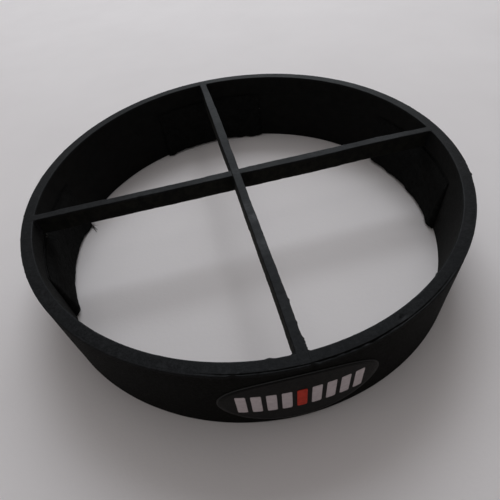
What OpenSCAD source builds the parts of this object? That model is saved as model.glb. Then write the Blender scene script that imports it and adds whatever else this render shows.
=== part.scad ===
// Short slip-on ring with a crossed baffle. It pushes over a round lamp head, and four felt pads grip it.
// Z is the ring's axis. The ring stands on z = 0, the slats are level with its upper rim,
// and the label faces -Y.

/* [Hoop] */
// Outside diameter of the hoop
hoop_d = 120; // [100:1:200]
// Thickness of the hoop's wall
wall = 3; // [2.8:0.1:5]
// Height of the hoop
hoop_h = 24; // [22:0.5:60]
// Chamfer on the hoop's four edges
chamfer = 0.3; // [0.1:0.05:0.6]

/* [Slats] */
// Width of a slat, seen from above
slat_w = 2.25; // [1.5:0.05:4]
// Depth of a slat, down from the upper rim
slat_h = 5; // [3:0.1:7]
// How far the front to back slat sits left of the centre
slat_left = 1.6; // [0:0.1:4]
// How far the left to right slat sits behind the centre
slat_behind = 0.3; // [0:0.1:4]
// How deep each slat end is let into the hoop's wall
let_in = 2.4; // [0.8:0.1:2.4]

/* [Glue] */
// Size of the larger bead, on the left of the front joint
big_bead = 1.5; // [0.8:0.1:2.5]
// Size of the beads in the other corners at the hoop
small_bead = 0.8; // [0.4:0.1:1.5]
// Size of the beads where the slats cross
centre_bead = 0.6; // [0.3:0.1:1.2]

/* [Felt pads] */
// Length of a pad along the hoop's wall
pad_l = 40; // [20:1:60]
// Thickness of a pad with its adhesive film
pad_t = 1.8; // [1:0.1:3]
// Thickness of the adhesive film behind a pad
tape_t = 0.15; // [0.1:0.05:0.3]
// Gap between the pads and the slats above them
pad_gap = 1.3; // [0.5:0.1:4]
// Height of the pads' lower edge above the hoop's lower rim
pad_lift = 0.3; // [0:0.1:2]
// Angle by which the right pad was stuck off its slat
right_turn = 2.4; // [-5:0.1:5]
// Angle by which the back pad was stuck off its slat
back_turn = 1.1; // [-5:0.1:5]
// Angle by which the left pad was stuck off its slat
left_turn = -2.9; // [-5:0.1:5]

/* [Label] */
// Length of the oval label along the wall
label_l = 35; // [20:0.5:50]
// Height of the oval label
label_h = 20.5; // [12:0.5:21]
// Angle from the front by which the label sits to the left
label_turn = 2.4; // [-10:0.1:10]
// Thickness of each of the label's layers
layer_t = 0.1; // [0.08:0.01:0.2]
// Width of the pale edge of film left round the dark print
label_edge = 0.3; // [0.2:0.05:1]
// Number of upright bars in the printed row
bars = 9; // [3:2:11]
// Height of a bar
bar_h = 7.6; // [4:0.2:9]
// Distance from one bar to the next
bar_pitch = 3.1; // [1.8:0.1:3.2]
// Width of a bar
bar_w = 2.1; // [0.8:0.1:2.6]

/* [Hidden] */
$fn = 360;
outer_r = hoop_d / 2;
inner_r = outer_r - wall;
slat_base = hoop_h - slat_h;
slat_mid = hoop_h - slat_h / 2;
slat_end_r = inner_r + let_in;
felt_back_r = inner_r - tape_t;
felt_face_r = inner_r - pad_t;
pad_top = slat_base - pad_gap;
pad_span = pad_l / inner_r * 180 / PI;
right_mid = right_turn;
back_mid = 90 + back_turn;
left_mid = 180 + left_turn;
front_mid = 270;
label_mid_z = hoop_h / 2 - 0.6;
label_mid = front_mid - label_turn;
film_back_r = outer_r + layer_t;
print_back_r = film_back_r + layer_t;
bar_back_r = print_back_r + layer_t;
bar_face_r = bar_back_r + layer_t;
orange_bar = (bars - 1) / 2;
// Share of a bead's size that its hollow face is cut back by
bead_hollow = 0.92;
// Extra length that takes a cutting tool clear of a face
over = 1;

// A piece of a tube round Z, from radius r1 to r2 and z1 to z2, spanning an angle centred on mid
module arc_piece(r1, r2, z1, z2, mid, span)
    rotate([0, 0, mid - span / 2])
        rotate_extrude(angle = span)
            translate([r1, z1])
                square([r2 - r1, z2 - z1]);

// A full tube round Z
module tube(r1, r2, z1, z2)
    translate([0, 0, z1])
        difference() {
            cylinder(r = r2, h = z2 - z1);
            translate([0, 0, -over]) cylinder(r = r1, h = z2 - z1 + 2 * over);
        }

// A bar along X through the axis, level with the rim, its ends rounded to sit in the hoop's wall
module bar_along_x(shift, z1, z2)
    intersection() {
        translate([-outer_r, shift - slat_w / 2, z1]) cube([hoop_d, slat_w, z2 - z1]);
        translate([0, 0, z1]) cylinder(r = slat_end_r, h = z2 - z1);
    }

module left_right_bar(z1, z2) bar_along_x(slat_behind, z1, z2);

module front_back_bar(z1, z2) rotate([0, 0, 90]) bar_along_x(slat_left, z1, z2);

// Section through the hoop's wall, with its four edges chamfered
module wall_section()
    polygon([
        [inner_r + chamfer, 0], [outer_r - chamfer, 0],
        [outer_r, chamfer], [outer_r, hoop_h - chamfer],
        [outer_r - chamfer, hoop_h], [inner_r + chamfer, hoop_h],
        [inner_r, hoop_h - chamfer], [inner_r, chamfer]
    ]);

module hoop()
    color("#1d1d1f")
        difference() {
            rotate_extrude() wall_section();
            left_right_bar(slat_base, hoop_h + over);
            front_back_bar(slat_base, hoop_h + over);
        }

// The slats are halved into each other: this one is cut away below, and the other one above
module front_back_slat()
    color("#2c2d30")
        difference() {
            front_back_bar(slat_base, hoop_h);
            left_right_bar(slat_base - over, slat_mid);
        }

module left_right_slat()
    color("#2c2d30")
        difference() {
            left_right_bar(slat_base, hoop_h);
            front_back_bar(slat_mid, hoop_h + over);
        }

// Distance along +X from the axis to the hoop's inner wall, at a distance y beside the axis
function wall_x(y) = sqrt(inner_r * inner_r - y * y);

// A bead with a hollow face in the corner where a slat along +X meets the hoop's wall.
// It starts at the slat's face y, and reaches along the wall to the side that sign gives.
module wall_bead(y, sign, size)
    difference() {
        polygon([
            [wall_x(y), y],
            [wall_x(y + sign * size), y + sign * size],
            [wall_x(y) - size, y + sign * size],
            [wall_x(y) - size, y]
        ]);
        translate([wall_x(y) - size, y + sign * size]) circle(r = size * bead_hollow);
    }

// Beads on both sides of a slat end. The slat points to the angle mid, and is shifted to its left.
module end_beads(mid, shift, left_bead, right_bead)
    color("#232326")
        rotate([0, 0, mid])
            translate([0, 0, slat_base])
                linear_extrude(slat_h - chamfer) {
                    wall_bead(shift + slat_w / 2, 1, left_bead);
                    wall_bead(shift - slat_w / 2, -1, right_bead);
                }

module front_joint_glue() end_beads(270, -slat_left, small_bead, big_bead);

module right_joint_glue() end_beads(0, slat_behind, small_bead, small_bead);

module back_joint_glue() end_beads(90, slat_left, small_bead, small_bead);

module left_joint_glue() end_beads(180, -slat_behind, small_bead, small_bead);

module centre_joint_glue()
    color("#232326")
        for (sx = [0, 1], sy = [0, 1])
            translate([-slat_left, slat_behind, slat_base])
                linear_extrude(slat_h - chamfer)
                    mirror([sx, 0])
                        mirror([0, sy])
                            translate([slat_w / 2, slat_w / 2])
                                difference() {
                                    square(centre_bead);
                                    translate([centre_bead, centre_bead])
                                        circle(r = centre_bead * bead_hollow);
                                }

module felt_pad(mid)
    color("#0f0f10")
        arc_piece(felt_face_r, felt_back_r, pad_lift, pad_top, mid, pad_span);

module pad_tape(mid)
    color("#55565a")
        arc_piece(felt_back_r, inner_r, pad_lift, pad_top, mid, pad_span);

// A layer of the label: an oval piece of a thin tube on the hoop's wall.
// Its length is laid along the wall, so it is narrower when seen straight from the front.
module oval_layer(r, inset)
    rotate([0, 0, -label_turn])
        intersection() {
            tube(r, r + layer_t, 0, hoop_h);
            translate([0, 0, label_mid_z])
                rotate([90, 0, 0])
                    linear_extrude(outer_r + 2 * wall)
                        polygon([
                            for (t = [0 : 5 : 355]) [
                                outer_r * sin((label_l / 2 - inset) * cos(t) / outer_r * 180 / PI),
                                (label_h / 2 - inset) * sin(t)
                            ]
                        ]);
        }

module label_adhesive() color("#8a8a84") oval_layer(outer_r, label_edge / 2);

module label_film() color("#77797c") oval_layer(film_back_r, 0);

module label_dark_print() color("#26272a") oval_layer(print_back_r, label_edge);

// One upright bar of the printed row, counted from the left
module printed_bar(i)
    arc_piece(
        bar_back_r, bar_face_r,
        label_mid_z - bar_h / 2, label_mid_z + bar_h / 2,
        label_mid + (i - orange_bar) * bar_pitch / outer_r * 180 / PI,
        bar_w / outer_r * 180 / PI
    );

module label_white_bars()
    color("#e8e6e6")
        for (i = [0 : bars - 1])
            if (i != orange_bar) printed_bar(i);

module label_orange_bar() color("#e0492c") printed_bar(orange_bar);

hoop();
front_back_slat();
left_right_slat();
front_joint_glue();
right_joint_glue();
back_joint_glue();
left_joint_glue();
centre_joint_glue();
felt_pad(front_mid);  // felt_pad_front
felt_pad(right_mid);  // felt_pad_right
felt_pad(back_mid);  // felt_pad_back
felt_pad(left_mid);  // felt_pad_left
pad_tape(front_mid);  // pad_tape_front
pad_tape(right_mid);  // pad_tape_right
pad_tape(back_mid);  // pad_tape_back
pad_tape(left_mid);  // pad_tape_left
label_adhesive();
label_film();
label_dark_print();
label_white_bars();
label_orange_bar();
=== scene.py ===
import math

import bmesh
import bpy
import numpy as np
from mathutils import Matrix, Vector


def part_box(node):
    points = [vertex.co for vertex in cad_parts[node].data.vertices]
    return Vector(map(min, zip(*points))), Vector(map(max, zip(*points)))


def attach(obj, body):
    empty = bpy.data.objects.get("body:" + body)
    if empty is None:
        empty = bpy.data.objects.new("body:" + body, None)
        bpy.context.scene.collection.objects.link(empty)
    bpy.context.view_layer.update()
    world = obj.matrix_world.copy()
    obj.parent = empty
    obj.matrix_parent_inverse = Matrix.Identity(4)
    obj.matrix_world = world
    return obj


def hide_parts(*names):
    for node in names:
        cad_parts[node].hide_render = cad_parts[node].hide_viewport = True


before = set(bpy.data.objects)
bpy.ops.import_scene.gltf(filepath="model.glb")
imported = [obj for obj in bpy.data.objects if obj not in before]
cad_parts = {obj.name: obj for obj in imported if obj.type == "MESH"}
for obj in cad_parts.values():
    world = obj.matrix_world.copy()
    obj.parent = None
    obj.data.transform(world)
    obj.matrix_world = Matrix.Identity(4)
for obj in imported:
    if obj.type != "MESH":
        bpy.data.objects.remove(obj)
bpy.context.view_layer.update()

MM = 0.001
TAU = 2 * math.pi


# ---------------------------------------------------------------- the frame's sizes, in millimetres


def node_points(name):
    return np.array([v.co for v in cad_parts[name].data.vertices], float) / MM


def box(name):
    low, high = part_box(name)
    return np.array(low) / MM, np.array(high) / MM


def arc_of(name):
    """Inner radius, outer radius, middle angle, half span, bottom and top of an arc-shaped node."""
    p = node_points(name)
    radius = np.hypot(p[:, 0], p[:, 1])
    middle = math.atan2(p[:, 1].mean(), p[:, 0].mean())
    off = (np.arctan2(p[:, 1], p[:, 0]) - middle + math.pi) % TAU - math.pi
    middle = middle + (off.max() + off.min()) / 2
    half = (off.max() - off.min()) / 2
    return radius.min(), radius.max(), middle, half, p[:, 2].min(), p[:, 2].max()


OUTER = box("hoop")[1][0]
RIM = box("hoop")[1][2]
INNER = arc_of("pad_tape_back")[1]
SLAT_LOW = box("front_back_slat")[0][2]
FB_LOW, FB_HIGH = box("front_back_slat")
LR_LOW, LR_HIGH = box("left_right_slat")
SLAT_END = FB_HIGH[1]
FB_X = (FB_LOW[0] + FB_HIGH[0]) / 2
LR_Y = (LR_LOW[1] + LR_HIGH[1]) / 2
SLAT_W = FB_HIGH[0] - FB_LOW[0]
SLAT_MID = (SLAT_LOW + RIM) / 2


# ---------------------------------------------------------------- small helpers


def wave(x, seed, longest, shortest, count=12):
    """Smooth noise from about -1 to 1 along x, from sines with wavelengths between the two given."""
    draw = np.random.RandomState(seed)
    total = np.zeros_like(np.asarray(x, float))
    for length in np.geomspace(longest, shortest, count):
        total = total + np.sin(TAU * np.asarray(x) / length + draw.uniform(0, TAU)) * draw.uniform(0.5, 1)
    return total / math.sqrt(count)


def ring_wave(angle, seed, low, high):
    """Smooth noise round the ring that closes on itself, from whole numbers of waves."""
    draw = np.random.RandomState(seed)
    total = np.zeros_like(angle)
    for k in range(low, high + 1):
        total = total + np.sin(k * angle + draw.uniform(0, TAU)) * draw.uniform(0.3, 1)
    return total / math.sqrt(high - low + 1)


def bump_at(x, centre, width):
    return np.exp(-(((np.asarray(x) - centre) / width) ** 2))


def near(angle, degrees, width):
    """1 at that angle round the ring, falling off over width degrees."""
    off = (np.degrees(angle) - degrees + 180) % 360 - 180
    return np.exp(-((off / width) ** 2))


def window(angle, first, last, soft):
    """1 between two angles in degrees, with soft ends."""
    middle, half = (first + last) / 2, (last - first) / 2
    off = np.abs((np.degrees(angle) - middle + 180) % 360 - 180)
    return np.clip((half - off) / soft + 0.5, 0, 1)


def place_object(name, data):
    made = bpy.data.objects.new(name, data)
    bpy.context.scene.collection.objects.link(made)
    return made


def closed_mesh(name, points, faces, **marks):
    """A mesh from points in millimetres, its faces turned outwards. marks are numbers kept at the points."""
    mesh = bpy.data.meshes.new(name)
    mesh.from_pydata((np.asarray(points) * MM).tolist(), [], faces)
    for key, values in marks.items():
        mesh.attributes.new(key, "FLOAT", "POINT").data.foreach_set("value", np.asarray(values, np.float32))
    work = bmesh.new()
    work.from_mesh(mesh)
    bmesh.ops.remove_doubles(work, verts=work.verts, dist=1e-7)
    bmesh.ops.dissolve_degenerate(work, edges=work.edges, dist=1e-7)
    bmesh.ops.recalc_face_normals(work, faces=work.faces)
    work.to_mesh(mesh)
    work.free()
    return mesh


def shade(mesh, sharp):
    """Smooth shading, broken at edges whose angle in degrees is above sharp."""
    mesh.polygons.foreach_set("use_smooth", [True] * len(mesh.polygons))
    mesh.set_sharp_from_angle(angle=math.radians(sharp))


def make(name, points, faces, material, slot, replaces, sharp=35, **marks):
    """A closed piece that rides on the ring and stands for its CAD nodes. Its material reads the marks."""
    mesh = closed_mesh(name, points, faces, **marks)
    mesh.materials.append(material)
    shade(mesh, sharp)
    piece = place_object(name, mesh)
    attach(piece, "root")
    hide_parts(*replaces)
    return piece


def loft(sections, closed=False):
    """Points and faces of a skin over sections, an array (sections, points, 3). Open lofts get end caps."""
    count, size = sections.shape[:2]
    faces = []
    for i in range(count if closed else count - 1):
        a, b = i * size, (i + 1) % count * size
        for j in range(size):
            k = (j + 1) % size
            faces.append((a + j, a + k, b + k, b + j))
    if not closed:
        faces.append(tuple(range(size - 1, -1, -1)))
        last = (count - 1) * size
        faces.append(tuple(last + j for j in range(size)))
    return sections.reshape(-1, 3), faces


# ---------------------------------------------------------------- materials


class Look:
    """A procedural material on one Principled shader."""

    def __init__(self, name):
        self.material = bpy.data.materials.new(name)
        self.material.use_nodes = True
        self.tree = self.material.node_tree
        self.shader = self.tree.nodes["Principled BSDF"]
        self.place = self.node("ShaderNodeTexCoord").outputs["Object"]

    def node(self, kind, **settings):
        made = self.tree.nodes.new(kind)
        for key, value in settings.items():
            setattr(made, key, value)
        return made

    def feed(self, socket, value):
        if isinstance(value, bpy.types.NodeSocket):
            self.tree.links.new(value, socket)
        else:
            socket.default_value = value

    def noise(self, size, detail=3.0, rough=0.6, stretch=(1, 1, 1)):
        """Noise whose lumps are about size millimetres across."""
        mapping = self.node("ShaderNodeMapping")
        self.feed(mapping.inputs["Vector"], self.place)
        mapping.inputs["Scale"].default_value = stretch
        texture = self.node("ShaderNodeTexNoise")
        self.feed(texture.inputs["Vector"], mapping.outputs["Vector"])
        texture.inputs["Scale"].default_value = 1 / (size * MM)
        texture.inputs["Detail"].default_value = detail
        texture.inputs["Roughness"].default_value = rough
        return texture.outputs["Fac"]

    def cells(self, size, feature="F1"):
        texture = self.node("ShaderNodeTexVoronoi", feature=feature)
        self.feed(texture.inputs["Vector"], self.place)
        texture.inputs["Scale"].default_value = 1 / (size * MM)
        return texture.outputs["Distance"]

    def span(self, value, low, high, new_low, new_high):
        """value from low..high mapped to new_low..new_high, held at the ends."""
        ranged = self.node("ShaderNodeMapRange", clamp=True)
        self.feed(ranged.inputs["Value"], value)
        ends = {"From Min": low, "From Max": high, "To Min": new_low, "To Max": new_high}
        for key, number in ends.items():
            ranged.inputs[key].default_value = number
        return ranged.outputs["Result"]

    def math(self, operation, a, b):
        made = self.node("ShaderNodeMath", operation=operation)
        self.feed(made.inputs[0], a)
        self.feed(made.inputs[1], b)
        return made.outputs[0]

    def mix(self, share, a, b):
        made = self.node("ShaderNodeMix", data_type="RGBA")
        self.feed(made.inputs["Factor"], share)
        for socket, colour in ((made.inputs[6], a), (made.inputs[7], b)):
            self.feed(socket, colour if isinstance(colour, bpy.types.NodeSocket) else (*colour, 1))
        return made.outputs[2]

    def blend(self, mask, low, high, a, b, most=1):
        """Colour a where mask is low, going over to colour b where it is high, up to the share most."""
        return self.mix(self.span(mask, low, high, 0, most), a, b)

    def attribute(self, name):
        return self.node("ShaderNodeAttribute", attribute_name=name).outputs["Fac"]

    def broken(self, name, mask, low, high, least, most):
        """The attribute of that name, broken up by a mask."""
        return self.math("MULTIPLY", self.attribute(name), self.span(mask, low, high, least, most))

    def bump(self, heights):
        """Bumps from (height, strength, depth in millimetres), the coarsest first."""
        normal = None
        for height, strength, depth in heights:
            made = self.node("ShaderNodeBump")
            made.inputs["Strength"].default_value = strength
            made.inputs["Distance"].default_value = depth * MM
            self.feed(made.inputs["Height"], height)
            if normal:
                self.feed(made.inputs["Normal"], normal)
            normal = made.outputs["Normal"]
        self.feed(self.shader.inputs["Normal"], normal)

    def set(self, **values):
        for key, value in values.items():
            self.feed(self.shader.inputs[key.replace("_", " ")], value)
        return self.material


def black_plastic():
    """Matte on the walls. The faces that were rubbed level, which point up, are smoother and bluer.

    The "edge" attribute marks worn edges, and "outside" the front of the hoop's outer wall, which gets
    painted
    shade: a darker colour. The slats' sides are marked for a lighter, browner tone, and "worn" the light
    stretches on top."""
    look = Look("black_plastic")
    patch = look.noise(14.0, 2)
    mottle = look.noise(3.0, 4)
    grain = look.noise(0.6, 5, 0.75)
    fine = look.noise(0.16, 3, 0.6)
    streaks = look.noise(0.5, 4, 0.7, stretch=(0.1, 0.1, 1))
    facing = look.node("ShaderNodeSeparateXYZ")
    look.feed(facing.inputs[0], look.node("ShaderNodeTexCoord").outputs["Normal"])
    rubbed = look.span(facing.outputs["Z"], 0.6, 0.95, 0, 1)

    wall = look.blend(mottle, 0.35, 0.65, (0.0048, 0.0047, 0.0043), (0.0078, 0.0076, 0.007))
    wall = look.blend(grain, 0.45, 0.7, wall, (0.011, 0.0108, 0.01), most=0.45)
    wall = look.blend(streaks, 0.5, 0.7, wall, (0.0115, 0.0112, 0.0102), most=0.4)
    # Painted shade: the front of the hoop's outer wall is made darker
    front_wall_shade = look.math("MULTIPLY", look.attribute("outside"), 0.9)
    wall = look.mix(front_wall_shade, wall, (0.002, 0.0017, 0.0009))
    # A lighter, browner tone on the slats' sides
    dusty = look.broken("dust", look.noise(2.2, 5, 0.7), 0.42, 0.62, 0.08, 0.58)
    wall = look.mix(dusty, wall, (0.0215, 0.0203, 0.0152))

    top = look.blend(mottle, 0.35, 0.65, (0.0016, 0.0016, 0.0018), (0.0052, 0.0053, 0.0057))
    top = look.blend(grain, 0.44, 0.62, top, (0.0112, 0.0113, 0.0122), most=0.9)
    scuff = look.span(look.noise(1.1, 5, 0.7), 0.5, 0.62, 0, 1)
    top = look.mix(look.math("MULTIPLY", scuff, 0.32), top, (0.022, 0.0222, 0.0238))

    colour = look.mix(rubbed, wall, top)
    edge = look.broken("edge", look.noise(0.8, 4), 0.35, 0.65, 0.2, 1)
    colour = look.mix(look.math("MULTIPLY", edge, 0.45), colour, (0.02, 0.0202, 0.0212))
    worn = look.broken("worn", look.noise(1.5, 4, 0.7), 0.38, 0.6, 0.15, 1)
    colour = look.mix(worn, colour, (0.05, 0.0505, 0.054))

    smooth = look.math("MULTIPLY", rubbed, look.span(patch, 0.35, 0.65, 0.36, 0.47))
    rough = look.math("SUBTRACT", 0.86, smooth)
    look.bump([(streaks, 0.5, 0.03), (grain, 0.9, 0.07), (fine, 0.5, 0.025)])
    return look.set(
        Base_Color=colour,
        Roughness=look.math("ADD", rough, look.span(grain, 0.35, 0.65, -0.1, 0.1)),
        Specular_IOR_Level=0.085,
        Specular_Tint=(0.93, 0.96, 1.0, 1),
    )


def black_glue():
    look = Look("black_glue")
    flow = look.noise(0.7, 3)
    grain = look.noise(0.25, 4)
    look.bump([(flow, 0.6, 0.08), (grain, 0.3, 0.02)])
    return look.set(
        Base_Color=look.blend(flow, 0.35, 0.65, (0.006, 0.006, 0.0062), (0.0095, 0.0095, 0.0105)),
        Roughness=look.span(flow, 0.3, 0.7, 0.5, 0.68),
        Specular_IOR_Level=0.05,
    )


def black_felt():
    """Matted black fibres. The "lint" attribute marks the light loose hairs."""
    look = Look("black_felt")
    clumps = look.noise(1.8, 4, 0.65)
    strands = look.noise(0.26, 6, 0.8)
    tangle = look.cells(0.35)
    fluff = look.noise(0.5, 4, 0.8)
    colour = look.blend(clumps, 0.35, 0.65, (0.0044, 0.0044, 0.0043), (0.0092, 0.0092, 0.009))
    colour = look.blend(strands, 0.45, 0.72, colour, (0.0165, 0.0165, 0.016), most=0.8)
    colour = look.blend(fluff, 0.68, 0.76, colour, (0.034, 0.034, 0.0335), most=0.5)
    colour = look.mix(look.attribute("lint"), colour, (0.075, 0.073, 0.07))
    look.bump([(clumps, 0.7, 0.3), (tangle, 0.6, 0.16), (strands, 1.0, 0.1)])
    return look.set(
        Base_Color=colour,
        Roughness=look.span(strands, 0.3, 0.7, 0.85, 1.0),
        Specular_IOR_Level=0.02,
        Sheen_Weight=0.01,
        Sheen_Roughness=0.6,
        Sheen_Tint=(0.5, 0.5, 0.5, 1),
    )


def pad_tape():
    look = Look("pad_tape")
    smear = look.noise(1.5, 4)
    fine = look.noise(0.3, 3)
    look.bump([(smear, 0.4, 0.05), (fine, 0.3, 0.02)])
    return look.set(
        Base_Color=look.blend(smear, 0.35, 0.65, (0.004, 0.004, 0.0042), (0.0075, 0.0075, 0.0077)),
        Roughness=look.span(fine, 0.3, 0.7, 0.55, 0.75),
        Specular_IOR_Level=0.06,
    )


def label_adhesive():
    look = Look("label_adhesive")
    smear = look.noise(0.9, 4)
    look.bump([(smear, 0.4, 0.03)])
    return look.set(
        Base_Color=look.blend(smear, 0.35, 0.65, (0.04, 0.04, 0.037), (0.07, 0.07, 0.065)),
        Roughness=look.span(smear, 0.3, 0.7, 0.4, 0.6),
    )


def label_film():
    """The "edge" attribute marks the top left of the film's rim, which is painted lighter as a highlight."""
    look = Look("label_film")
    cloud = look.noise(2.5, 4)
    fine = look.noise(0.25, 3)
    colour = look.blend(cloud, 0.35, 0.65, (0.0035, 0.0034, 0.0031), (0.0062, 0.006, 0.0056))
    # Painted highlight on the top left of the film's rim
    colour = look.mix(look.attribute("edge"), colour, (0.034, 0.034, 0.034))
    look.bump([(cloud, 0.2, 0.03), (fine, 0.2, 0.008)])
    return look.set(
        Base_Color=colour,
        Roughness=look.span(cloud, 0.3, 0.7, 0.42, 0.55),
        Specular_IOR_Level=0.12,
    )


def dark_print():
    look = Look("dark_print")
    cloud = look.noise(3.5, 4)
    peel = look.noise(0.6, 3)
    fine = look.noise(0.15, 3)
    colour = look.blend(cloud, 0.35, 0.65, (0.0028, 0.0026, 0.0022), (0.0044, 0.0041, 0.0036))
    colour = look.blend(fine, 0.5, 0.75, colour, (0.0072, 0.0069, 0.006), most=0.4)
    look.bump([(peel, 0.35, 0.02), (fine, 0.25, 0.008)])
    return look.set(
        Base_Color=colour,
        Roughness=look.span(peel, 0.3, 0.7, 0.36, 0.46),
        Specular_IOR_Level=0.05,
    )


def print_ink(name, dark, light, speck):
    look = Look(name)
    cloud = look.noise(1.2, 4)
    fine = look.noise(0.14, 4)
    colour = look.blend(cloud, 0.3, 0.7, dark, light)
    colour = look.blend(fine, 0.56, 0.74, colour, speck, most=0.5)
    look.bump([(cloud, 0.25, 0.015), (fine, 0.3, 0.008)])
    return look.set(
        Base_Color=colour,
        Roughness=look.span(fine, 0.3, 0.7, 0.5, 0.65),
        Specular_IOR_Level=0.12,
    )


def pale_floor():
    look = Look("pale_floor")
    cloud = look.noise(60, 3)
    fine = look.noise(1.2, 4)
    look.bump([(fine, 0.25, 0.15)])
    return look.set(
        Base_Color=look.blend(cloud, 0.3, 0.7, (0.825, 0.778, 0.778), (0.865, 0.818, 0.818)),
        Roughness=look.span(cloud, 0.3, 0.7, 0.85, 0.95),
        Specular_IOR_Level=0.2,
    )


PLASTIC = black_plastic()
GLUE = black_glue()
FELT = black_felt()
TAPE = pad_tape()
ADHESIVE = label_adhesive()
FILM = label_film()
DARK = dark_print()
WHITE = print_ink("white_print", (0.56, 0.485, 0.495), (0.67, 0.59, 0.6), (0.44, 0.39, 0.4))
ORANGE = print_ink("orange_print", (0.5, 0.034, 0.018), (0.64, 0.055, 0.03), (0.34, 0.02, 0.012))


# ---------------------------------------------------------------- the hoop


def quarter_round(centre_r, centre_z, radius, first, count=5):
    """Points of a quarter-round corner in the wall's section, from the angle first in degrees."""
    turn = np.radians(np.linspace(first, first - 90, count))
    return np.stack([centre_r + radius * np.cos(turn), centre_z + radius * np.sin(turn)], -1)


def hoop_profile():
    """The wall's section as (r, z) points: over the top outwards, down outside, back below and up inside.

    With it comes how worn each point is. The top has more points near its outer edge, for the groove."""
    soft, foot = 0.24, 0.28
    inset, groove_band = 0.9, 1.0
    top = np.concatenate([
        np.linspace(INNER + soft, OUTER - groove_band, 15)[:-1],
        np.linspace(OUTER - groove_band, OUTER - soft, 15)[1:-1],
    ])
    parts = [
        (np.stack([top, np.full_like(top, RIM)], -1), 0.0),
        (quarter_round(OUTER - soft, RIM - soft, soft, 90), 1.0),
        (np.stack([np.full(12, OUTER), np.linspace(RIM - inset, inset, 12)], -1), 0.0),
        (quarter_round(OUTER - foot, foot, foot, 0), 0.6),
        (np.stack([np.linspace(OUTER - inset, INNER + inset, 4), np.zeros(4)], -1), 0.0),
        (quarter_round(INNER + foot, foot, foot, -90), 0.6),
        (np.stack([np.full(10, INNER), np.linspace(inset, RIM - inset, 10)], -1), 0.0),
        (quarter_round(INNER + soft, RIM - soft, soft, 180), 1.0),
    ]
    profile = np.concatenate([p for p, _ in parts])
    edge = np.concatenate([np.full(len(p), e) for p, e in parts])
    return profile, edge


def burrs(angle, seed, count, height, width):
    """Small bumps and dents scattered round an edge."""
    draw = np.random.RandomState(seed)
    total = np.zeros_like(angle)
    for _ in range(count):
        place, wide = draw.uniform(0, 360), width * draw.uniform(0.6, 1.5)
        total = total + near(angle, place, wide) * draw.uniform(-0.5, 1)
    return total * height


def rim_cuts(a, r):
    """Height changes on the rim's face: a thin groove just inside its outer edge, with a raised lip.

    It is deep at the front right and a trace elsewhere. Right of the front joint the rim is broken out."""
    groove_in, groove_deep, groove_wide = 0.48, 0.17, 0.09
    lip_out, lip_high, lip_wide = 0.28, 0.05, 0.12
    broken_in, broken_deep = 0.62, 0.3
    ragged = 1 + 0.3 * ring_wave(a, 3, 40, 80) + 0.35 * ring_wave(a, 14, 90, 260)
    groove = window(a, 252, 302, 8) * np.clip(ragged, 0.1, 1.8)
    trace = np.clip(0.25 + 0.2 * ring_wave(a, 4, 20, 50), 0, 1)
    groove_r = OUTER - groove_in + 0.05 * ring_wave(a, 5, 9, 60)
    broken = window(a, 270.5, 287, 5) * np.clip(1 + 0.5 * ring_wave(a, 15, 60, 160), 0.3, 1.5)
    cut = -groove_deep * (groove + 0.25 * trace) * bump_at(r, groove_r, groove_wide)
    cut = cut - broken_deep * broken * np.clip((r - OUTER + broken_in) / 0.3, 0, 1)
    return cut + lip_high * groove * bump_at(r, groove_r + lip_out, lip_wide)


def edge_bumps(angle, spots):
    """Single burrs and nicks round an edge, from (angle in degrees, width in degrees, size) each."""
    return sum(size * near(angle, degrees, width) for degrees, width, size in spots)


def hoop_points(steps):
    """The hoop's points, and their marks for worn edges and for the painted shade on the front of the outer
    wall.
    """
    profile, edge = hoop_profile()
    a = (np.arange(steps) * TAU / steps)[:, None]
    r = np.repeat(profile[None, :, 0], steps, 0)
    z = np.repeat(profile[None, :, 1], steps, 0)
    # How far each point belongs to the outer face, the inner face and the rim, with soft ends
    side_band, rim_band, fade = 0.6, 1.2, 0.5
    outside = np.clip((r - (OUTER - side_band)) / fade, 0, 1)
    inside = np.clip((INNER + side_band - r) / fade, 0, 1)
    high = np.clip((z - (RIM - rim_band)) / (2 * fade), 0, 1)
    top = (profile[:, 1] > RIM - 0.02)[None, :]
    # The slow unevenness of the rim's height
    rim_level = 0.012 * ring_wave(a, 6, 2, 9) + 0.01 * ring_wave(a, 7, 30, 90)
    z = z + np.where(top, rim_cuts(a, r), 0) + high * rim_level
    # The wall bends slightly as a whole
    r = r + 0.035 * ring_wave(a, 8, 3, 8)
    outer_burr = burrs(a, 11, 150, 0.1, 0.3) + edge_bumps(a, (
        (-21.4, 0.5, 0.2), (148.6, 0.5, 0.12), (-104.5, 0.6, -0.35), (-90.4, 0.45, -0.4)
    ))
    inner_burr = burrs(a, 12, 110, 0.07, 0.35) + edge_bumps(a, ((-57.3, 0.45, 0.2), (-97.8, 0.6, 0.22)))
    r = r + high * (outside * outer_burr - inside * inner_burr)
    z = z + high * outside * 0.5 * np.minimum(outer_burr, 0)
    # The small blemish on the rim's face at the right
    blemish_at, blemish_r, blemish_deep = -71.0, OUTER - 1.25, 0.16
    z = z - np.where(top, blemish_deep * near(a, blemish_at, 0.6) * bump_at(r, blemish_r, 0.35), 0)
    # The outer wall's faint flat spots, and its foot, which isn't quite level
    r = r + outside * (1 - high) * 0.02 * np.sin(6 * a + z * 0.35)
    foot_band = 1.5
    low = np.clip(1 - z / foot_band, 0, 1)
    z = z + low * np.clip(0.05 + 0.05 * ring_wave(a, 13, 3, 40), 0, 0.15)
    points = np.stack([r * np.cos(a), r * np.sin(a), z], -1)
    # The front of the outer wall is marked for the painted shade that darkens it
    outer_wall = (profile[:, 0] > OUTER - 0.3) & (profile[:, 1] < RIM - 0.3)
    front = outer_wall * window(a, 200, 340, 60)
    return points, np.tile(edge, steps), front.reshape(-1)


def end_reach(side, radius):
    """Distance along a slat from the axis to a circle, at a distance beside the axis."""
    return np.sqrt(radius * radius - side * side)


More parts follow.
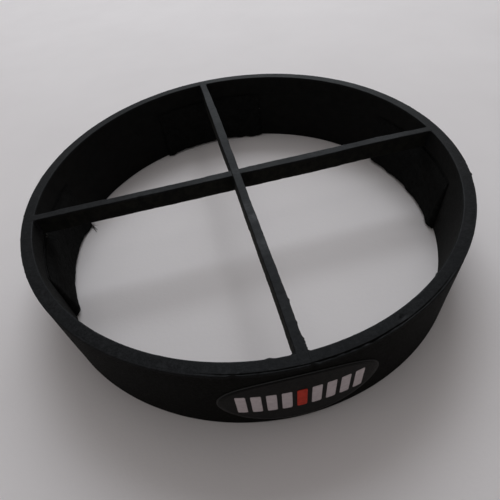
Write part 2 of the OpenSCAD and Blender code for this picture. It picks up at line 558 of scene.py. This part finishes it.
def seat_cutter(shift, along_x, gap):
    """A bar whose ends follow the slat's rounded ends, as wide as the slat and a gap on each side."""
    below, above = 0.02, 3
    across = np.linspace(shift - SLAT_W / 2 - gap, shift + SLAT_W / 2 + gap, 12)
    far = end_reach(across, SLAT_END + gap)
    outline = np.concatenate([np.stack([across, far], -1), np.stack([across, -far], -1)[::-1]])
    if along_x:
        outline = outline[:, ::-1]
    sections = [np.column_stack([outline, np.full(len(outline), z)]) for z in (SLAT_LOW - below, RIM + above)]
    return place_object("seat_cutter", closed_mesh("seat_cutter", *loft(np.stack(sections))))


def build_hoop():
    """The hoop, with the slats' seats cut out of it."""
    steps, seat_gap = 1200, 0.004
    points, edge, outside = hoop_points(steps)
    flat, faces = loft(points, closed=True)
    hoop = make("hoop_ring", flat, faces, PLASTIC, "black_plastic", ["hoop"], edge=edge, outside=outside)
    cutters = [seat_cutter(FB_X, False, seat_gap), seat_cutter(LR_Y, True, seat_gap)]
    for cutter in cutters:
        cut = hoop.modifiers.new("seat", "BOOLEAN")
        cut.operation, cut.object, cut.solver = "DIFFERENCE", cutter, "EXACT"
    bpy.context.view_layer.update()
    done = bpy.data.meshes.new_from_object(hoop.evaluated_get(bpy.context.evaluated_depsgraph_get()))
    hoop.modifiers.clear()
    for cutter in cutters:
        bpy.data.objects.remove(cutter)
    hoop.data = done
    done.name = "hoop_ring"
    shade(done, 40)


build_hoop()


# ---------------------------------------------------------------- the slats


def slat_section(half_left, half_right, low, high, soft, worn):
    """A rounded rectangle, as (across, z) points with the edge marks and the marks for the sides' lighter
    tone.

    soft is the upper edges' radius, and worn their edge mark."""
    foot, foot_worn = 0.14, 0.5
    width = np.linspace(-half_left + soft, half_right - soft, 11)[1:-1]
    side = np.linspace(high - soft, low + foot, 9)[1:-1]
    base = np.linspace(half_right - foot, -half_left + foot, 6)[1:-1]
    quarter = np.radians([90, 67.5, 45, 22.5, 0])
    cos, sin = np.cos(quarter), np.sin(quarter)
    runs = [
        (width, np.full(9, high), 0, 0),
        (half_right - soft + soft * cos, high - soft + soft * sin, worn, 0),
        (np.full(7, half_right), side, 0, 1),
        (half_right - foot + foot * cos[::-1], low + foot - foot * sin[::-1], foot_worn, 1),
        (base, np.full(4, low), 0, 1),
        (-half_left + foot - foot * cos, low + foot - foot * sin, foot_worn, 1),
        (np.full(7, -half_left), side[::-1], 0, 1),
        (-half_left + soft - soft * cos[::-1], high - soft + soft * sin[::-1], worn, 0),
    ]
    section = np.concatenate([np.stack([across, z], -1) for across, z, _, _ in runs])
    edge = np.concatenate([np.full(len(z), float(e)) for _, z, e, _ in runs])
    dust = np.concatenate([np.full(len(z), float(d)) for _, z, _, d in runs])
    return section, edge, dust


def slat_places(crossing, gap, reach):
    """Places along a slat. Both ends of its halved stretch are given twice, for the step there."""
    count, spare = 470, 0.1
    place = np.linspace(-reach, reach, count)
    first, last = crossing - SLAT_W / 2 - gap, crossing + SLAT_W / 2 + gap
    place = place[(np.abs(place - first) > spare) & (np.abs(place - last) > spare)]
    return np.sort(np.concatenate([place, [first, first, last, last]]))


def build_slat(
    name, node, shift, along_x, seed, crossing, keep_top, offset, extra_left, extra_right, scuffs, left_dust
):
    """A slat lofted along its length, halved where the other one crosses it.

    offset, extra_left, extra_right and scuffs are functions of the place along the slat, and so is the last
    argument. scuffs says how worn its top is there, and the last argument how much lighter its left side is
    than its other sides."""
    gap, sunk = 0.003, 0.2
    soft, soft_in_seat = 0.2, 0.012
    half = SLAT_W / 2 - gap
    reach = SLAT_END - 0.02
    place = slat_places(crossing, gap, reach)
    sections, edges, dusts, worn = [], [], [], []
    waver = 0.035 * wave(place, seed, 60, 9)
    fat = 0.03 * wave(place, seed + 1, 14, 1.2)
    thin = 0.03 * wave(place, seed + 2, 14, 1.2)
    level = 0.018 * wave(place, seed + 3, 30, 1.5)
    sag = 0.05 * wave(place, seed + 4, 40, 3) - sunk
    halved = False
    for i, y in enumerate(place):
        if i and y == place[i - 1]:
            halved = not halved
        clear = abs(y) < INNER
        low, high = SLAT_LOW + sag[i] * clear, RIM + level[i] * clear
        if halved:
            low, high = (SLAT_MID + gap, high) if keep_top else (low, SLAT_MID - gap)
        # Near and inside the hoop's wall the slat keeps to its seat, is sharp-edged, and has no wear marks or
        # lighter sides
        middle = offset(y) + waver[i] * (abs(y) < INNER - 1)
        free = 1 if abs(y) < INNER - 0.5 else 0
        left = half - middle + free * fat[i] + extra_left(y)
        right = half + middle + free * thin[i] + extra_right(y)
        if not free:
            left, right = min(left, half), min(right, half)
        section, edge, dust = slat_section(left, right, low, high, soft if free else soft_in_seat, free)
        along = np.full(len(section), y)
        if i in (0, len(place) - 1):
            along = math.copysign(1, y) * end_reach(section[:, 0] + shift, reach)
        elif abs(y) > end_reach(abs(shift) + half, reach) - 0.05:
            continue
        across = section[:, 0] + shift
        xy = (along, across) if along_x else (across, along)
        sections.append(np.column_stack([*xy, section[:, 1]]))
        edges.append(edge)
        dusts.append(dust * free * np.where(section[:, 0] < 0, left_dust(y), 1))
        worn.append((0.05 + scuffs(y)) * free * (dust == 0))
    points, faces = loft(np.stack(sections))
    make(
        name, points, faces, PLASTIC, "black_plastic", [node],
        edge=np.concatenate(edges), dust=np.concatenate(dusts), worn=np.concatenate(worn),
    )


def step_up(x, where, width):
    return 0.5 * (1 + math.tanh((x - where) / (2 * width)))


def between(x, first, last, soft=0.3):
    return step_up(x, first, soft) * (1 - step_up(x, last, soft))


def scuffs_at(y, spots):
    """How worn the top is at a place along it, from spots as (place, width, share)."""
    return float(sum(share * bump_at(y, at, width) for at, width, share in spots))


def fb_offset(y):
    """The front to back slat lies slightly to the right of its seats."""
    return 0.11 * between(y, -51, 51, 1)


def fb_right(y):
    """Extra width on the right: a ragged step at the front joint, small bumps, and a thicker back half."""
    ragged = 0.22 * between(-y, 53.8, 56.6, 0.1) * (1 + 0.35 * math.sin(y * 9))
    seam = -0.03 * step_up(-y, 57.0, 0.1)
    bumps = 0.2 * bump_at(y, -45, 0.35) + 0.12 * bump_at(y, -50.6, 0.3)
    return ragged + seam + float(bumps) + 0.12 * between(y, 2, 50, 1) + 0.14 * between(y, 16, 39, 1.5)


def fb_left(y):
    """Extra width on the left: a thicker back half."""
    return 0.14 * between(y, 16, 50, 2)


def fb_scuffs(y):
    """Lighter worn stretches on the top: three in front of the crossing, one on it and one near the back."""
    return scuffs_at(y, (
        (-28.5, 2.6, 0.55), (-19, 1.4, 1.0), (-14.5, 1.8, 0.5), (0.8, 1.3, 0.5), (41, 5, 0.15)
    ))


def fb_dust(y):
    """The left side is lighter in front of the crossing."""
    return 1 + 2.2 * step_up(-y, 16, 3)


def lr_scuffs(x):
    """A faint worn stretch on each half."""
    return scuffs_at(x, ((-28, 5, 0.3), (22, 6, 0.2)))


def lr_dust(x):
    """Its two sides are equally light."""
    return 1.0


def lr_offset(x):
    """The left to right slat's right half lies further back than its left half."""
    return (0.25 * step_up(x, FB_X, 0.3) - 0.04) * between(x, -51, 51, 1)


def lr_right(x):
    """Extra width at the back: two steps on the left half, a wider right half, and two bumps on it."""
    steps = 0.22 * between(x, -51, -38) + 0.24 * between(x, -10, -2) + 0.16 * between(x, 2, 51)
    return steps + 0.2 * float(bump_at(x, 41, 3)) + 0.1 * float(bump_at(x, 31, 0.4))


def lr_left(x):
    """Extra width in front: steps on both halves, and a small bump and a narrow stretch at the left."""
    steps = 0.1 * between(x, -24, -3) + 0.22 * between(x, 1, 30, 1)
    return steps - 0.08 * between(x, -51, -38) + 0.12 * float(bump_at(x, -49, 0.4))


build_slat(
    "front_back_bar", "front_back_slat", FB_X, along_x=False, seed=21, crossing=LR_Y, keep_top=True,
    offset=fb_offset, extra_left=fb_left, extra_right=fb_right, scuffs=fb_scuffs, left_dust=fb_dust,
)
build_slat(
    "left_right_bar", "left_right_slat", LR_Y, along_x=True, seed=31, crossing=FB_X, keep_top=False,
    offset=lr_offset, extra_left=lr_left, extra_right=lr_right, scuffs=lr_scuffs, left_dust=lr_dust,
)


# ---------------------------------------------------------------- the glue in the corners


def bead(corner_point, along_wall, along_slat, size_wall, size_slat, seed, top):
    """A fillet with a hollow front, as sections up its height. Places and directions are in plan.

    It is thinner over foot_h at its foot, and rounded over cap at its top."""
    cap, foot_h, hollow, sunk = 0.25, 0.7, 0.62, 0.09
    draw = np.random.RandomState(seed)
    heights = np.concatenate([
        np.linspace(SLAT_LOW + 0.1, top - cap, 16),
        top - cap + cap * np.sin(np.linspace(0.25, 1.45, 6)),
    ])
    grow_wall = 1 + 0.16 * wave(heights, seed, 5, 0.9) + draw.uniform(-0.05, 0.05)
    grow_slat = 1 + 0.16 * wave(heights, seed + 1, 5, 0.9)
    sections = []
    for i, z in enumerate(heights):
        shrink = 1 if z < top - cap else math.sqrt(1 - ((z - top + cap) / (cap + 0.01)) ** 2 * 0.35)
        foot = 0.55 + 0.45 * min(1, (z - SLAT_LOW) / foot_h)
        w = along_wall * size_wall * grow_wall[i] * shrink * foot
        s = along_slat * size_slat * grow_slat[i] * shrink * foot
        back = -(along_wall + along_slat) * sunk
        pull = (w + s) * (1 - hollow) * 0.5
        turn = np.linspace(0, 1, 9)[:, None]
        front = (1 - turn) ** 2 * w + 2 * turn * (1 - turn) * pull + turn**2 * s
        outline = np.concatenate([[back], [w + back * 0.6], front, [s + back * 0.6]])
        sections.append(np.column_stack([corner_point + outline, np.full(len(outline), z)]))
    return loft(np.stack(sections))


def join(parts):
    """Several (points, faces) as one."""
    points, faces, start = [], [], 0
    for p, f in parts:
        points.append(p)
        faces += [tuple(start + k for k in face) for face in f]
        start += len(p)
    return np.concatenate(points), faces


def turn_plan(v, degrees):
    a = math.radians(degrees)
    return np.array([v[0] * math.cos(a) - v[1] * math.sin(a), v[0] * math.sin(a) + v[1] * math.cos(a)])


def joint_glue(name, node, middle, shift, left, right, seed):
    """Both fillets at one slat end, which points to the angle middle and is shifted to its left.

    left and right are (size along the wall, size along the slat), seen looking outwards."""
    parts, sunk, below_rim = [], 0.03, 0.06
    for sign, sizes, k in ((1, left, 0), (-1, right, 7)):
        y = shift + sign * (SLAT_W / 2 - sunk)
        x = float(end_reach(y, INNER))
        wall_way = np.array([-y, x]) / INNER * sign
        parts.append(bead(
            turn_plan((x, y), middle), turn_plan(wall_way, middle), turn_plan((-1.0, 0.0), middle),
            sizes[0], sizes[1], seed + k, RIM - below_rim,
        ))
    make(name, *join(parts), GLUE, "black_glue", [node], sharp=60)


joint_glue("front_joint_fillets", "front_joint_glue", 270, FB_X, (0.7, 0.9), (1.5, 1.3), 41)
joint_glue("right_joint_fillets", "right_joint_glue", 0, LR_Y, (0.9, 0.8), (0.7, 0.9), 51)
joint_glue("back_joint_fillets", "back_joint_glue", 90, -FB_X, (0.7, 0.8), (0.8, 0.9), 61)
joint_glue("left_joint_fillets", "left_joint_glue", 180, -LR_Y, (0.8, 0.9), (0.8, 0.8), 71)


def centre_glue():
    """The four fillets at the crossing. They follow the slats' halves, which lie a little out of line."""
    parts, sunk, beside = [], 0.05, 1.3
    for k, (sx, sy, size) in enumerate(((1, 1, 0.75), (-1, 1, 0.6), (-1, -1, 0.8), (1, -1, 0.6))):
        x = FB_X + sx * (SLAT_W / 2 - sunk) + fb_offset(LR_Y + sy * beside)
        y = LR_Y + sy * (SLAT_W / 2 - sunk)
        along_x, along_y = np.array([float(sx), 0.0]), np.array([0.0, float(sy)])
        parts.append(bead(np.array([x, y]), along_x, along_y, size, size, 81 + k, RIM - sunk))
    make("crossing_fillets", *join(parts), GLUE, "black_glue", ["centre_joint_glue"], sharp=60)


centre_glue()


# ---------------------------------------------------------------- the felt pads


def fibre(root, way, length, radius, draw, bent):
    """A short bent hair with three sides. It narrows to its tip."""
    way = way / np.linalg.norm(way)
    side = np.cross(way, [0.3, 0.5, 0.8])
    side /= np.linalg.norm(side)
    other = np.cross(way, side)
    bend = (side * draw.uniform(-1, 1) + other * draw.uniform(-1, 1)) * length * bent
    sections = []
    for t in (0.0, 0.35, 0.7, 1.0):
        centre = root + way * length * t + bend * t * t
        thick = radius * (1 - 0.65 * t)
        sections.append(np.stack([
            centre + (side * math.cos(q) + other * math.sin(q)) * thick for q in (0, TAU / 3, 2 * TAU / 3)
        ]))
    return loft(np.stack(sections))


PAD_COLUMNS, PAD_ROWS = 150, 66


def pad_faces():
    """Faces over a grid of front points and the same grid of back points, closed along all four edges."""
    columns, rows = PAD_COLUMNS, PAD_ROWS
    faces, n = [], columns * rows
    for i in range(columns - 1):
        for j in range(rows - 1):
            a = i * rows + j
            faces.append((a, a + rows, a + rows + 1, a + 1))
            faces.append((n + a, n + a + 1, n + a + rows + 1, n + a + rows))
    for i in range(columns - 1):
        a, b = i * rows, i * rows + rows - 1
        faces.append((a, n + a, n + a + rows, a + rows))
        faces.append((b, b + rows, n + b + rows, n + b))
    for j in range(rows - 1):
        a, b = j, (columns - 1) * rows + j
        faces.append((a, a + 1, n + a + 1, n + a))
        faces.append((b, n + b, n + b + 1, b + 1))
    return faces


def edge_round(t, size):
    """How full the pad is at a share t of its size, from 0 at a cut edge to 1 further in."""
    cut_edge = 1.3
    inwards = np.clip(np.minimum(t, 1 - t) * size / cut_edge, 0, 1)
    return np.sqrt(1 - (1 - inwards) ** 2)


def pad_fuzz(draw, shape):
    """Random unevenness between neighbouring points, smoothed a little."""
    fuzz = draw.normal(0, 0.07, shape)
    for _ in range(2):
        near_by = np.roll(fuzz, 1, 0) + np.roll(fuzz, 1, 1) + np.roll(fuzz, -1, 0)
        fuzz = (fuzz + near_by) / 4 + draw.normal(0, 0.02, shape)
    return fuzz


def pad_surface(node, seed, draw, tufts, slope, thin):
    """The pad's front and back points, as arrays (column, row, 3), and the angle round the ring of each."""
    face_r, back_r, middle, half, low, high = arc_of(node)
    thick, length, height = back_r - face_r, half * 2 * back_r, high - low
    along = np.linspace(0, 1, PAD_COLUMNS)
    u, v = along[:, None], np.linspace(0, 1, PAD_ROWS)[None, :]
    s, h = u * length, v * height

    # The face is fullest in the middle. It is pressed thin towards the upper edge and at the upper corners.
    press_depth, corner_width = 3.5, 4.5
    below_top = np.clip((1 - v) * height / press_depth, 0, 1)
    pressed = below_top**2 * (3 - 2 * below_top)
    crown = 0.2 + 0.8 * edge_round(u, length) * (edge_round(v, height) * pressed)
    fuzz = pad_fuzz(draw, (PAD_COLUMNS, PAD_ROWS))
    lumps = 0.07 * wave(s * 0.9 + h * 0.5, seed + 1, 14, 1.8) + 0.07 * wave(h - s * 0.35, seed + 2, 10, 1.6)
    at_end = np.exp(-((np.minimum(u, 1 - u) * length / corner_width) ** 2))
    crown = crown * (1 - thin * at_end * np.clip((v - 0.2) / 0.6, 0, 1))
    depth = np.clip(thick * crown * 0.97 + (fuzz + lumps * 0.8) * crown, 0.2, thick + 0.12)

    # The cut edges are ragged. Where there are low tufts the pad bulges out and hangs down.
    ragged_top = 0.16 * wave(s, seed + 3, 9, 0.8) - 0.28 - slope * u
    ragged_low = np.clip(0.14 * wave(s, seed + 4, 7, 0.7) + 0.02, -0.26, 0.5)
    for share, up, size in tufts:
        if up < 0.1:
            depth = depth + 0.7 * size * bump_at(s, share * length, 1.8) * bump_at(h, 0, 1.2)
            ragged_low = ragged_low - size * bump_at(s, share * length, 1.6)
    ragged_low = np.maximum(ragged_low, -low + 0.03)
    z = low + ragged_low * (1 - v) ** 4 + height * v + ragged_top * v**4
    ragged_end = 0.18 * wave(h, seed + 5, 8, 1.0) / back_r
    angle = middle - half + 2 * half * u + ragged_end * ((1 - u) ** 12 - u**12)

    front_r, wall_r = back_r - depth, back_r - 0.01
    front = np.stack([front_r * np.cos(angle), front_r * np.sin(angle), z], -1)
    back = np.stack([wall_r * np.cos(angle), wall_r * np.sin(angle), z], -1)
    return front, back, angle


def felt_pad(name, node, seed, tufts=(), slope=0.0, wisps=(), thin=0.0):
    """A cut piece of felt on the wall: uneven faces, soft cut edges, and loose fibres round its edges.

    tufts are (share of the length from the right hand end, share of the height, size in mm), and slope lowers
    the top edge towards the left hand end. wisps are light hairs: (share, share, length in mm, radius in mm,
    way), where way says how far the hair points along the wall, up and out. thin is the share of its
    thickness that the pad loses at its two upper corners."""
    draw = np.random.RandomState(seed)
    front, back, angle = pad_surface(node, seed, draw, tufts, slope, thin)
    columns, rows = PAD_COLUMNS, PAD_ROWS
    parts = [(np.concatenate([front.reshape(-1, 3), back.reshape(-1, 3)]), pad_faces())]
    floor_gap, root_deep = 0.02, 0.15

    def sprout(i, j, length, lean, thick=None, bent=0.45):
        """A fibre from a grid point of the face. lean says how far it points along the wall, up and out."""
        cos, sin = math.cos(angle[i, j]), math.sin(angle[i, j])
        out = np.array([-cos, -sin, 0])
        wall = np.array([-sin, cos, 0])
        way = wall * lean[0] + np.array([0, 0, 1.0]) * lean[1] + out * lean[2]
        root = front[i, j] + out * -root_deep + np.array([0, 0, 0.1 if j == 0 else -0.1])
        hair, hair_faces = fibre(root, way, length, thick or draw.uniform(0.014, 0.032), draw, bent)
        # A hair that would reach the floor is flattened just above it
        z = hair[:, 2]
        hair[:, 2] = np.maximum(z, floor_gap + 0.15 * np.abs(z - z[0]) * (z < floor_gap))
        parts.append((hair, hair_faces))

    # Fibres along the lower edge, the upper edge, the two ends, and all over the face
    for _ in range(340):
        sprout(draw.randint(columns), 0, draw.uniform(0.2, 0.9),
               (draw.normal(0, 0.7), -1, draw.uniform(0.2, 1.2)))
    for _ in range(150):
        sprout(draw.randint(columns), rows - 1, draw.uniform(0.15, 0.6),
               (draw.normal(0, 0.7), 1, draw.uniform(0, 0.8)))
    for _ in range(90):
        end = draw.randint(2)
        sprout(end * (columns - 1), draw.randint(rows), draw.uniform(0.2, 0.7),
               (1 if end else -1, draw.normal(0, 0.6), draw.uniform(0, 0.8)))
    for _ in range(700):
        sprout(draw.randint(columns), draw.randint(rows), draw.uniform(0.15, 0.5),
               (draw.normal(0, 1), draw.normal(0, 1), draw.uniform(0.25, 0.9)))
    for share, height, size in tufts:
        up = -0.5 if height < 0.5 else 0.6
        for _ in range(45):
            i = int(np.clip(draw.normal(share, 0.018), 0, 1) * (columns - 1))
            j = int(np.clip(draw.normal(height, 0.03), 0, 1) * (rows - 1))
            sprout(i, j, size * draw.uniform(0.6, 1.6), (draw.normal(0, 0.6), up, draw.uniform(0.5, 1.4)))
    dark_points = sum(len(p) for p, _ in parts)
    for share, height, length, thick, way in wisps:
        sprout(int(share * (columns - 1)), int(height * (rows - 1)), length, way, thick, bent=0.15)
    points, faces = join(parts)
    lint = np.arange(len(points)) >= dark_points
    pad = make(name, points, faces, FELT, "black_felt", [node], sharp=80, lint=lint)


felt_pad("front_felt", "felt_pad_front", 101)
felt_pad(
    "right_felt", "felt_pad_right", 111, thin=0.6,
    tufts=((0.06, 0.05, 0.5), (0.45, 0.0, 0.3), (0.75, 0.0, 0.35)),
)
felt_pad(
    "back_felt", "felt_pad_back", 121, thin=0.6,
    tufts=((0.1, 0.0, 0.9), (0.22, 0.0, 0.6), (0.97, 0.0, 0.7)),
    wisps=(
        (0.01, 0.68, 0.6, 0.2, (-0.6, 0.2, 0.5)), (0.02, 0.55, 0.4, 0.12, (-0.4, -0.5, 0.5)),
        (0.2, 0.5, 0.4, 0.12, (0.6, 0.3, 0.6)), (0.4, 0.55, 0.35, 0.1, (0.5, -0.4, 0.6)),
        (0.99, 0.06, 0.6, 0.07, (0.8, -0.2, 0.5)),
    ),
)
felt_pad(
    "left_felt", "felt_pad_left", 131, thin=0.6, slope=0.5,
    tufts=((0.03, 0.02, 1.1), (0.1, 0.0, 0.9), (0.62, 0.98, 0.6)),
    wisps=(
        (0.03, 0.04, 4.2, 0.24, (3.1, -0.85, 2.7)), (0.03, 0.04, 3.3, 0.2, (1.8, -0.85, 2.5)),
        (0.04, 0.02, 2.3, 0.1, (-0.35, -0.05, 1.0)), (0.02, 0.06, 1.6, 0.09, (0.5, 0.2, 1.0)),
        (0.56, 1.0, 0.9, 0.22, (0.3, 1.0, 0.1)), (0.57, 1.0, 0.8, 0.22, (-0.5, 0.9, 0.2)),
        (0.58, 1.0, 0.9, 0.2, (0.7, 0.8, 0.0)), (0.55, 1.0, 0.7, 0.2, (-0.9, 0.4, 0.1)),
        (0.575, 1.0, 0.7, 0.2, (0.1, 0.4, 0.4)), (0.5, 0.3, 0.4, 0.05, (0.5, 0.4, 0.5)),
    ),
)


# ---------------------------------------------------------------- the label


def oval_sheet(name, node, material, slot, soft):
    """A thin oval sheet bent round the wall, with a slightly wavy outline and its rim rounded by soft.

    The "edge" mark is the top of the rim, a little to the left, where the film's material paints a highlight."""
    low_r, high_r, middle, half, low, high = arc_of(node)
    half_long, half_high, mid_z = half * OUTER, (high - low) / 2, (high + low) / 2
    turn = np.linspace(0, TAU, 240, endpoint=False)
    outline = 1 + 0.0012 * ring_wave(turn, 141 + len(name), 6, 40)
    # Where the painted highlight falls: the top of the rim, a little to the left
    glint = np.clip(np.cos(turn - math.radians(112)), 0, 1) ** 1.5
    # Out over the face and its rounded rim, then back under it: (share of the size, inset, radius)
    steps = [(k / 14, 0, high_r) for k in range(1, 14)]
    steps += [(1, soft, high_r), (1, 0, high_r - soft), (1, 0, low_r + 0.005)]
    steps += [(k / 5, 0, low_r) for k in range(4, 0, -1)]
    rings, glints = [], []
    for share, inset, r in steps:
        a = middle + np.cos(turn) * (half_long - inset) * share * outline / OUTER
        z = mid_z + np.sin(turn) * (half_high - inset) * share * outline
        rings.append(np.stack([r * np.cos(a), r * np.sin(a), z], -1))
        glints.append(glint * (share > 0.9))
    make(name, *loft(np.stack(rings)), material, slot, [node], sharp=50, edge=np.concatenate(glints))


oval_sheet("label_glue_coat", "label_adhesive", ADHESIVE, "label_adhesive", soft=0.02)
oval_sheet("label_pale_film", "label_film", FILM, "label_film", soft=0.04)
oval_sheet("label_dark_face", "label_dark_print", DARK, "dark_print", soft=0.04)


def rounded_rectangle(half_w, half_h, radius):
    """Its outline as points: seven round each corner and eight between two corners."""
    corners = []
    for k, (sx, sz) in enumerate(((1, 1), (-1, 1), (-1, -1), (1, -1))):
        turn = np.radians(np.linspace(k * 90, k * 90 + 90, 7))
        middle = np.array([sx * (half_w - radius), sz * (half_h - radius)])
        corners.append(middle + radius * np.stack([np.cos(turn), np.sin(turn)], -1))
    outline = []
    for k, round_corner in enumerate(corners):
        side = np.linspace(round_corner[-1], corners[(k + 1) % 4][0], 10)[1:-1]
        outline += [round_corner, side]
    return np.concatenate(outline)


def printed_bar(middle, half, low, high, low_r, high_r, seed):
    """A raised bar of ink with rounded corners and a slightly uneven outline."""
    outline = rounded_rectangle(half * high_r, (high - low) / 2, 0.35)
    turn = np.arange(len(outline)) * TAU / len(outline)
    outline = outline * (1 + 0.012 * ring_wave(turn, seed, 3, 14)[:, None] / np.array([1.0, 3.0]))
    rings = []
    for shape, r in (
        (outline * 0.5, high_r), (outline - np.sign(outline) * 0.06, high_r),
        (outline * 0.98, high_r - 0.02), (outline, high_r - 0.05), (outline, low_r), (outline * 0.5, low_r),
    ):
        a = middle + shape[:, 0] / high_r
        rings.append(np.stack([r * np.cos(a), r * np.sin(a), (low + high) / 2 + shape[:, 1]], -1))
    return loft(np.stack(rings))


def printed_row(bars):
    """The row of upright bars. The middle one is the orange one, and the others are white."""
    low_r, high_r, middle, half, low, high = arc_of("label_orange_bar")
    mid_bar = (bars - 1) / 2
    pitch = (arc_of("label_white_bars")[3] - half) / mid_bar
    white = [
        printed_bar(middle + (k - mid_bar) * pitch, half, low, high, low_r, high_r, 151 + k)
        for k in range(bars) if k != mid_bar
    ]
    make("label_white_row", *join(white), WHITE, "white_print", ["label_white_bars"], sharp=50)
    orange = printed_bar(middle, half, low, high, low_r, high_r, 171)
    make("label_orange_mark", *orange, ORANGE, "orange_print", ["label_orange_bar"], sharp=50)


printed_row(9)


# ---------------------------------------------------------------- the adhesive films stay as in the CAD

for side in ("front", "right", "back", "left"):
    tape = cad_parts["pad_tape_" + side]
    tape.data.materials.clear()
    tape.data.materials.append(TAPE)


# ---------------------------------------------------------------- floor, light and camera


def build_floor(half):
    mesh = bpy.data.meshes.new("floor")
    corners = [(-half, -half, 0), (half, -half, 0), (half, half, 0), (-half, half, 0)]
    mesh.from_pydata(corners, [], [(0, 1, 2, 3)])
    mesh.materials.append(pale_floor())
    floor = place_object("floor", mesh)


def area_light(name, place, size, energy, colour=(1, 1, 1)):
    """A rectangular light that faces the middle of the ring."""
    light = bpy.data.lights.new(name, "AREA")
    light.shape, light.size, light.size_y = "RECTANGLE", size[0], size[1]
    light.energy, light.color = energy, colour
    lamp = place_object(name, light)
    lamp.location = place
    lamp.rotation_mode = "QUATERNION"
    lamp.rotation_quaternion = Vector(place).to_track_quat("Z", "Y")


def around(azimuth, height):
    """A place 0.93 m from the ring's centre. azimuth turns from +X towards +Y, both in degrees."""
    distance = 0.93
    a, e = math.radians(azimuth), math.radians(height)
    return distance * math.cos(e) * math.cos(a), distance * math.cos(e) * math.sin(a), distance * math.sin(e)


def light_room():
    daylight, warm = (0.9, 0.955, 1.0), (1.0, 0.95, 0.92)
    area_light("window", around(72, 34), (0.55, 0.5), 1.2, daylight)
    area_light("high_window", around(78, 52), (0.5, 0.35), 2.42, daylight)
    area_light("wide_window", around(90, 36), (1.0, 0.6), 0.76, daylight)
    area_light("back_left_fill", around(118, 36), (0.4, 0.5), 0.16)
    area_light("right_fill", around(45, 36), (0.35, 0.5), 0.24)
    area_light("top_fill", (0.0, 0.1, 0.9), (0.8, 0.8), 1.1)
    area_light("left_fill", (-0.9, -0.05, 0.5), (0.6, 0.5), 0.2, warm)
    world = bpy.data.worlds.new("soft_room")
    world.use_nodes = True
    background = world.node_tree.nodes["Background"]
    background.inputs["Color"].default_value = (1.0, 0.975, 0.96, 1)
    background.inputs["Strength"].default_value = 0.17
    bpy.context.scene.world = world
    bpy.context.scene.view_settings.view_transform = "Standard"


def place_camera():
    """The photo's camera: close above the front of the ring, aimed at the rim, and turned a little."""
    camera = bpy.data.cameras.new("camera")
    camera.sensor_width, camera.lens = 36.0, 28.71
    camera.clip_start, camera.clip_end = 0.005, 20.0
    seat, aim = Vector((-0.01330, -0.09018, 0.09194)), Vector((-0.00467, -0.02934, 0.024))
    roll = math.radians(-7.787)
    ahead = (aim - seat).normalized()
    right = ahead.cross(Vector((0, 0, 1))).normalized()
    up = right.cross(ahead)
    rolled_right = right * math.cos(roll) + up * math.sin(roll)
    rolled_up = up * math.cos(roll) - right * math.sin(roll)
    turn = Matrix((rolled_right, rolled_up, -ahead)).transposed()
    body = place_object("camera", camera)
    body.matrix_world = Matrix.Translation(seat) @ turn.to_4x4()
    bpy.context.scene.camera = body


build_floor(1.5)
light_room()
place_camera()

bpy.context.view_layer.update()
